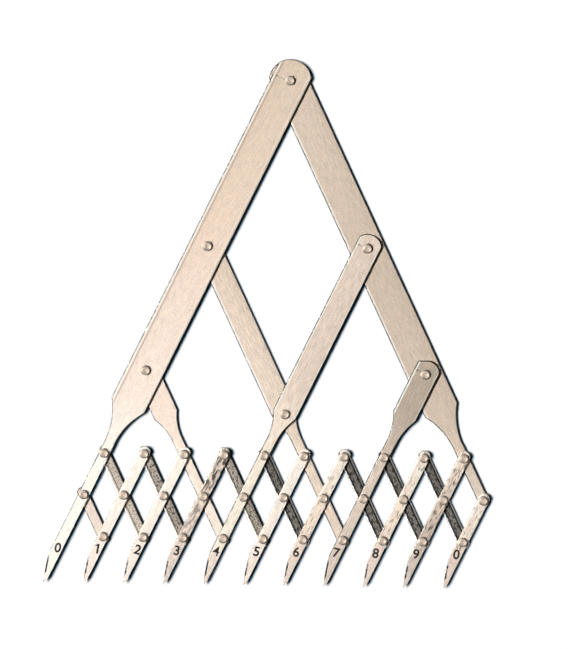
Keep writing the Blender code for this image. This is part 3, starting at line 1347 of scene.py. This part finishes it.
LAST_BRACE_LEG = BarShape("last_brace_leg", (3, 1, 0, -1), Foot.POINT, **BRACE, cut_corner=True)
LOW_BRACE_LINK = BarShape("low_brace_link", (3, 1, 0, -1), Foot.ROUND, **LOW_BRACE)
LONG_BRACE_LINK = BarShape("long_brace_link", (6, 2, 1, 0, -1), Foot.ROUND, **BRACE)


@dataclass(frozen=True)
class Bar:
    """One flat bar of the tool."""

    layer: Layer
    number: int
    shape: BarShape
    steel: RolledSteel

    @property
    def node(self) -> str:
        """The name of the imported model's node and body."""
        return LINKAGE.node(self.layer, self.number)

    @property
    def place(self) -> Vector:
        """The place of the bar's middle pivot, on the underside of its layer."""
        height = LINKAGE.front_z if self.layer is Layer.LEG else LINKAGE.back_z
        return LINKAGE.point(self.number, self.number) + Vector((0, 0, height))


@dataclass
class Bars:
    """All 22 flat bars, the shapes that repeat modelled once."""

    bars: list[Bar] = field(default_factory=list)
    pattern_shift: float = 41.0

    def __post_init__(self) -> None:
        """Lists the bars with their shapes and finishes."""
        legs = {
            0: (LEFT_ARM, LEFT_ARM_STEEL),
            3: (PLAIN_LEG, STREAKED_LEG_STEEL),
            4: (LONG_BRACE_LEG, PALE_BRACE_STEEL),
            5: (PLAIN_LEG, WARM_LEG_STEEL),
            6: (PLAIN_LEG, FLECKED_LEG_STEEL),
            7: (LAST_BRACE_LEG, GREY_BRACE_STEEL),
            8: (PLAIN_LEG, FLECKED_LEG_STEEL),
            9: (PLAIN_LEG, SHADED_FLECKED_LEG_STEEL),
            10: (SHORT_LEG, FLECKED_LEG_STEEL),
        }
        links = {
            0: (SHORT_LINK, SHORT_LINK_STEEL),
            1: (PLAIN_LINK, LIGHT_LINK_STEEL),
            2: (PLAIN_LINK, BROWN_LINK_STEEL),
            3: (LOW_BRACE_LINK, CREAM_LINK_STEEL),
            4: (PLAIN_LINK, BROWN_LINK_STEEL),
            6: (LONG_BRACE_LINK, WARM_BRACE_STEEL),
            10: (RIGHT_ARM, RIGHT_ARM_STEEL),
        }
        for number in range(LINKAGE.spaces + 1):
            shape, steel = legs.get(number, (PLAIN_LEG, CREAM_LEG_STEEL))
            self.bars.append(Bar(Layer.LEG, number, shape, steel))
            shape, steel = links.get(number, (PLAIN_LINK, DARK_LINK_STEEL))
            self.bars.append(Bar(Layer.LINK, number, shape, steel))

    def build(self) -> None:
        """Models, dresses and places every bar."""
        masters = {}
        materials = {}
        for bar in self.bars:
            if bar.shape.name not in masters:
                masters[bar.shape.name] = bar.shape.build()
            if bar.steel.name not in materials:
                materials[bar.steel.name] = bar.steel.material()
            master, material = masters[bar.shape.name], materials[bar.steel.name]
            turn = LINKAGE.turn(bar.layer)
            piece = place_copy(master, bar.node + "_bar", bar.place, turn, material)
            self.shift_pattern(piece, bar)
            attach(piece, bar.node)
            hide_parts(bar.node)
            LOG.info("%s: %d faces", piece.name, len(piece.data.polygons))
        for master in masters.values():
            bpy.data.objects.remove(master, do_unlink=True)

    def shift_pattern(self, piece: Object, bar: Bar) -> None:
        """Moves the finish along the strip, so that no two bars are cut from the same place.

        Args:
            piece: The placed bar.
            bar: Its number and layer.
        """
        shift = self.pattern_shift * (bar.number + (0.5 if bar.layer is Layer.LINK else 0))
        for spot in piece.data.uv_layers["bar"].data:
            spot.uv = (spot.uv[0], spot.uv[1] + shift)


@dataclass(frozen=True)
class RivetShape:
    """A rivet: a domed front head, a pin through both layers and a flat rear head."""

    name: str
    head_radius: float
    sides: int = 32
    lip: float = 0.00055
    dome: float = 0.00020
    dome_steps: int = 8
    cup_share: float = 0.62
    cup_depth: float = 0.00011
    cup_aside: float = 0.00022
    cup_steps: int = 5
    pin_radius: float = 0.0008
    rear_radius: float = 0.0015
    rear_height: float = 0.0005
    rear_round: float = 0.00012
    smooth_angle: float = math.radians(40)

    def profile(self) -> list[tuple[float, float, float]]:
        """Lists each ring, from the cup in the crown to the rear face.

        Returns:
            The radius, height and shift to the right of each ring.
        """
        cup = self.head_radius * self.cup_share
        top = LINKAGE.head_z + self.lip + self.dome
        rings = []
        for step in range(1, self.cup_steps):
            share = step / self.cup_steps
            rings.append((cup * share, top - self.cup_depth * (1 - share**2), self.cup_aside))
        span = self.head_radius - cup
        ball = (span**2 + self.dome**2) / (2 * self.dome)
        edge = math.asin(span / ball)
        for step in range(self.dome_steps + 1):
            angle = edge * step / self.dome_steps
            aside = self.cup_aside * (1 - step / self.dome_steps)
            rings.append((cup + ball * math.sin(angle), top - ball * (1 - math.cos(angle)), aside))
        rear = self.rear_radius - self.rear_round
        straight = (
            (self.head_radius, LINKAGE.head_z + self.lip / 2),
            (self.head_radius - self.lip / 3, LINKAGE.head_z),
            (self.pin_radius, LINKAGE.head_z),
            (self.pin_radius, self.rear_height),
            (rear, self.rear_height),
            (self.rear_radius, self.rear_height - self.rear_round),
            (self.rear_radius, self.rear_round),
            (rear, 0.0),
        )
        rings.extend((radius, height, 0.0) for radius, height in straight)
        return rings

    def build(self) -> Object:
        """Models the rivet from the crown down, with its axis at the origin.

        Each point holds its place for the finish: ring is its distance from the axis, over the
        head's radius, and right is how far it lies to the right, from -1 to 1.

        Returns:
            The rivet.
        """
        rings = self.profile()
        start_clean()
        radius, height, aside = rings[0]
        bpy.ops.mesh.primitive_circle_add(
            vertices=self.sides, radius=radius, fill_type="NGON", location=(0, 0, 0)
        )
        item = bpy.context.active_object
        item.name = self.name
        bpy.ops.object.mode_set(mode="EDIT")
        bpy.ops.mesh.select_all(action="SELECT")
        bpy.ops.transform.translate(value=(aside, 0, height))
        for (above, high, before), (below, low, after) in zip(rings, rings[1:]):
            pick(item, is_open)
            move = {"value": (after - before, 0, low - high)}
            bpy.ops.mesh.extrude_edges_move(TRANSFORM_OT_translate=move)
            share = below / above
            bpy.ops.transform.resize(value=(share, share, 1), center_override=(after, 0, low))
        pick(item, is_open)
        bpy.ops.mesh.edge_face_add()
        bpy.ops.mesh.select_all(action="SELECT")
        bpy.ops.mesh.normals_make_consistent(inside=False)
        bpy.ops.object.mode_set(mode="OBJECT")
        ring = item.data.attributes.new("ring", "FLOAT", "POINT")
        right = item.data.attributes.new("right", "FLOAT", "POINT")
        for index, vertex in enumerate(item.data.vertices):
            reach = vertex.co.xy.length
            ring.data[index].value = reach / self.head_radius
            right.data[index].value = vertex.co.x / max(reach, CLOSED)
        choose(item)
        bpy.ops.object.shade_smooth_by_angle(angle=self.smooth_angle)
        return item


@dataclass
class Rivets:
    """The 37 rivets, each fixed to its leg."""

    steel: BurnishedRivet = BurnishedRivet()
    brace_pivots: tuple[tuple[int, int], ...] = ((3, 0), (6, 0), (6, 4), (10, 4), (10, 7), (10, 0))
    lattice: RivetShape = RivetShape("lattice_rivet_shape", 0.00163)
    brace: RivetShape = RivetShape("brace_rivet_shape", 0.00170)

    def places(self) -> dict[str, tuple[int, int]]:
        """Maps each rivet's node to the numbers of its link and leg.

        Returns:
            The link's and the leg's number by the name of the node.
        """
        found = {}
        for leg in range(LINKAGE.spaces + 1):
            for link, row in ((leg - 1, "lower"), (leg, "middle"), (leg + 1, "upper")):
                if 0 <= link <= LINKAGE.spaces:
                    found[f"{row}_rivet_{leg:02d}"] = (link, leg)
        for link, leg in self.brace_pivots:
            apex = (link, leg) == (LINKAGE.spaces, 0)
            found["apex_rivet" if apex else f"brace_rivet_{link:02d}_{leg:02d}"] = (link, leg)
        return found

    def build(self) -> None:
        """Models, dresses and places every rivet."""
        material = self.steel.material()
        masters = {True: self.brace.build(), False: self.lattice.build()}
        turn = LINKAGE.turn(Layer.LEG)
        for node, (link, leg) in self.places().items():
            master = masters[(link, leg) in self.brace_pivots]
            piece = place_copy(master, node + "_head", LINKAGE.point(link, leg), turn, material)
            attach(piece, LINKAGE.node(Layer.LEG, leg))
            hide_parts(node)
        LOG.info("rivets: %d", len(self.places()))
        for master in masters.values():
            bpy.data.objects.remove(master, do_unlink=True)


@dataclass
class Numerals:
    """The plain numbers on the legs: 0, 1 to 9 and 0 again.

    They are struck by hand, so each sits a little off its place. nudges holds how far, in
    millimetres across and up and in degrees anticlockwise, from the left leg to the right.
    """

    enamel: StampedEnamel = StampedEnamel()
    height: float = 0.00345
    drop: float = 0.00457
    raised: float = 0.00003
    boldness: float = 0.034
    fine_boldness: float = 0.002
    fine_legs: tuple[int, ...] = (4,)
    lean: float = math.radians(-11)
    digit_share: float = 0.73
    curve_steps: int = 6
    flag_length: float = 0.00105
    flag_width: float = 0.00042
    flag_left: float = 0.45
    flag_rise: float = 0.36
    flag_turn: float = math.radians(38)
    nudges: tuple[tuple[float, float, float], ...] = (
        (0.35, 0.01, -1.0),
        (0.35, -0.16, 0.0),
        (0.34, -0.20, -7.0),
        (0.02, -0.32, 0.0),
        (-0.18, -0.26, -3.0),
        (-0.05, -0.20, -1.0),
        (-0.15, -0.16, 1.0),
        (-0.12, -0.23, -3.0),
        (-0.36, -0.16, 2.0),
        (-0.18, -0.23, 3.0),
        (-0.08, -0.16, 1.0),
    )

    def digit(self, leg: int) -> Object:
        """Models the flat numeral of a leg.

        Args:
            leg: The leg's number.

        Returns:
            The numeral, at the origin and in the letter's own size.
        """
        start_clean()
        bpy.ops.object.text_add(location=(0, 0, 0))
        letter = bpy.context.active_object.data
        letter.body = str(leg % LINKAGE.spaces)
        letter.size = self.height / self.digit_share
        letter.offset = self.height * (self.fine_boldness if leg in self.fine_legs else self.boldness)
        letter.extrude = self.raised / 2
        letter.resolution_u = self.curve_steps
        bpy.ops.object.convert(target="MESH")
        piece = bpy.context.active_object
        piece.name = f"numeral_{leg:02d}"
        piece.data.name = piece.name
        return piece

    def flagged(self, piece: Object, place: Matrix) -> Object:
        """Joins a slanted flag to the top of the numeral one, which the plain letter lacks.

        Args:
            piece: The numeral, in its place.
            place: The numeral's place.

        Returns:
            The numeral with its flag.
        """
        start_clean()
        bpy.ops.mesh.primitive_cube_add(size=1.0, location=(0, 0, 0))
        flag = bpy.context.active_object
        flag.dimensions = (self.flag_length, self.flag_width, self.raised)
        bpy.ops.object.transform_apply(location=True, rotation=True, scale=True)
        corner = Vector((-self.flag_length * self.flag_left, self.height * self.flag_rise, 0))
        turned = Matrix.Rotation(self.flag_turn, 4, "Z")
        flag.matrix_world = place @ Matrix.Translation(corner) @ turned
        bpy.ops.object.transform_apply(location=True, rotation=True, scale=True)
        choose(piece)
        flag.select_set(True)
        bpy.ops.object.join()
        return piece

    def build(self) -> None:
        """Models, dresses and places every numeral."""
        material = self.enamel.material()
        half = LINKAGE.open_angle / 2
        down = Vector((-math.sin(half), -math.cos(half), 0))
        for leg, (across, up, turn) in enumerate(self.nudges):
            piece = self.digit(leg)
            corners = [Vector(corner) for corner in piece.bound_box]
            centre = (corners[0] + corners[6]) / 2
            scale = self.height / (corners[6].y - corners[0].y)
            spot = LINKAGE.point(leg - 1, leg) + down * self.drop + Vector((across, up, 0)) * MM
            spot.z = LINKAGE.front_z + LINKAGE.thickness - self.raised / 3
            angle = PHOTO_ROLL + self.lean + math.radians(turn)
            place = Matrix.Translation(spot) @ Matrix.Rotation(angle, 4, "Z")
            sized = Matrix.Diagonal((scale, scale, 1, 1))
            piece.matrix_world = place @ sized @ Matrix.Translation(-centre)
            bpy.ops.object.transform_apply(location=True, rotation=True, scale=True)
            if leg == 1:
                piece = self.flagged(piece, place)
            piece.data.materials.clear()
            piece.data.materials.append(material)
            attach(piece, LINKAGE.node(Layer.LEG, leg))
        LOG.info("numerals: %d", len(self.nudges))


@dataclass
class Studio:
    """The white table, the suns and the camera, which looks straight down.

    The table has suns of its own, which make its dark linear tint white and don't light the
    tool. fringe is the share of each colour that comes from the second of them, the cool one.
    fill, ceiling and far_wall are strengths of the room that the metal mirrors.
    """

    floor_size: float = 6.0
    floor_drop: float = 0.00020
    lens: float = 300.0
    sensor: float = 36.0
    focus_height: float = 0.003
    light_azimuth: float = math.radians(178)
    sun_lean: float = math.radians(22.5)
    sun_width: float = math.radians(16)
    floor_tint: tuple[float, float, float] = (0.046, 0.060, 0.070)
    fringe: tuple[float, float, float] = (0.0, 0.07, 0.15)
    fringe_lean: float = math.radians(15)
    face_sun: float = 3.42
    face_lean: float = math.radians(34)
    face_width: float = math.radians(5)
    fill: float = 0.02
    ceiling: float = 0.02
    far_wall: float = 0.10
    wall_rise: float = math.radians(6)
    ceiling_rise: float = math.radians(38)
    wall_span: tuple[float, float] = (-0.55, 0.15)
    middle: tuple[float, float, float] = (0.0, -0.084, 0.0)
    white: float = 1.01
    clip: tuple[float, float] = (0.01, 50.0)

    def add_sun(
        self,
        name: str,
        lean: float,
        width: float,
        energy: float,
        colour: tuple[float, ...] | list[float],
        lit: Collection,
    ) -> None:
        """Adds a sun at the left that lights some of the objects only.

        Args:
            name: The lamp's name.
            lean: How far it leans from upright, in radians.
            width: The width of its disc, in radians.
            energy: Its strength on a face that is turned to it.
            colour: Its linear colour.
            lit: The objects that it lights.
        """
        azimuth = self.light_azimuth + PHOTO_ROLL
        flat = math.sin(lean)
        direction = Vector((flat * math.cos(azimuth), flat * math.sin(azimuth), math.cos(lean)))
        lamp = bpy.data.objects.new(name, bpy.data.lights.new(name, "SUN"))
        bpy.context.scene.collection.objects.link(lamp)
        lamp.location = Vector(self.middle) + direction
        lamp.rotation_euler = direction.to_track_quat("Z", "Y").to_euler()
        lamp.data.energy = energy
        lamp.data.color = colour
        lamp.data.angle = width
        lamp.light_linking.receiver_collection = lit

    def add_floor(self) -> Object:
        """Adds the table. Its suns make it white, and its tint shows only in the shadow.

        Returns:
            The table.
        """
        start_clean()
        bpy.ops.mesh.primitive_plane_add(size=self.floor_size, location=(0, 0, -self.floor_drop))
        floor = bpy.context.active_object
        floor.name = "table"
        material, _, shader = new_material("white_table")
        colour = (*self.floor_tint, 1.0)
        set_inputs(shader, {"Base Color": colour, "Roughness": 1.0, "Specular IOR Level": 0.0})
        floor.data.materials.append(material)
        return floor

    def add_lights(self, floor: Object) -> None:
        """Adds the suns: two for the table alone, and one for the tool.

        The second one is cool and leans less, so that it leaves the shadow a blue fringe.

        Args:
            floor: The table.
        """
        table = bpy.data.collections.new("table_only")
        table.objects.link(floor)
        tool = bpy.data.collections.new("tool_only")
        for item in bpy.data.objects:
            if item.type == "MESH" and item is not floor:
                tool.objects.link(item)
        darkest = min(self.floor_tint)
        strength = self.white * math.pi / darkest
        level = [darkest / value for value in self.floor_tint]
        warm = [value * (1 - part) for value, part in zip(level, self.fringe)]
        cool = [value * part for value, part in zip(level, self.fringe)]
        for name, lean, colour in (
            ("table_sun", self.sun_lean, warm),
            ("table_cool_sun", self.fringe_lean, cool),
        ):
            self.add_sun(name, lean, self.sun_width, strength / math.cos(lean), colour, table)
        self.add_sun("tool_sun", self.face_lean, self.face_width, self.face_sun, (1.0, 1.0, 1.0), tool)

    def add_world(self) -> None:
        """Makes the room that the metal mirrors: a white wall at the left, darker at the right."""
        world = bpy.data.worlds.new("white_room")
        world.use_nodes = True
        tree = world.node_tree
        add = partial(add_node, tree)
        across, _, up = add("SeparateXYZ", (add("TexCoord", output="Generated"),)).node.outputs
        rays = add("LightPath").node.outputs
        ranges = (across, *self.wall_span, 1.0, self.far_wall)
        wall = add("MapRange", ranges, interpolation_type="SMOOTHSTEP")
        ranges = (up, math.sin(self.wall_rise), math.sin(self.ceiling_rise), 1.0, 0.0)
        below = add("MapRange", ranges, interpolation_type="SMOOTHSTEP")
        mirrored = add("Mix", {0: below, 2: self.ceiling, 3: wall})
        level = add("Mix", {0: rays["Is Glossy Ray"], 2: self.fill, 3: mirrored})
        straight = (rays["Is Camera Ray"], rays["Is Transmission Ray"])
        seen = add("Math", straight, operation="MAXIMUM")
        level = add("Mix", {0: seen, 2: level, 3: 1.0})
        set_inputs(tree.nodes["Background"], {"Color": (1, 1, 1, 1), "Strength": level})
        bpy.context.scene.world = world

    def add_camera(self) -> None:
        """Adds the camera straight above, at the photograph's scale and roll."""
        camera = bpy.data.objects.new("camera", bpy.data.cameras.new("camera"))
        bpy.context.scene.collection.objects.link(camera)
        camera.data.lens = self.lens
        camera.data.sensor_width = self.sensor
        distance = self.lens / self.sensor * IMAGE_HEIGHT / PIXELS_PER_METRE
        right = (IMAGE_WIDTH / 2 - APEX_PIXEL[0]) / PIXELS_PER_METRE
        down = (IMAGE_HEIGHT / 2 - APEX_PIXEL[1]) / PIXELS_PER_METRE
        spot = Matrix.Rotation(PHOTO_ROLL, 4, "Z") @ Vector((right, -down, 0))
        camera.location = (spot.x, spot.y, self.focus_height + distance)
        camera.rotation_euler = (0, 0, PHOTO_ROLL)
        camera.data.clip_start, camera.data.clip_end = self.clip
        bpy.context.scene.camera = camera

    def build(self) -> None:
        """Sets up the table, lamps, surroundings and camera."""
        floor = self.add_floor()
        self.add_lights(floor)
        self.add_world()
        self.add_camera()
        bpy.context.scene.view_settings.view_transform = "Standard"
        LOG.info("studio ready")


def main() -> None:
    """Builds the tool and its studio."""
    logging.basicConfig(level=logging.INFO, format="%(name)s: %(message)s")
    Bars().build()
    Rivets().build()
    Numerals().build()
    Studio().build()
    bpy.context.view_layer.update()


if __name__ == "__main__":
    main()
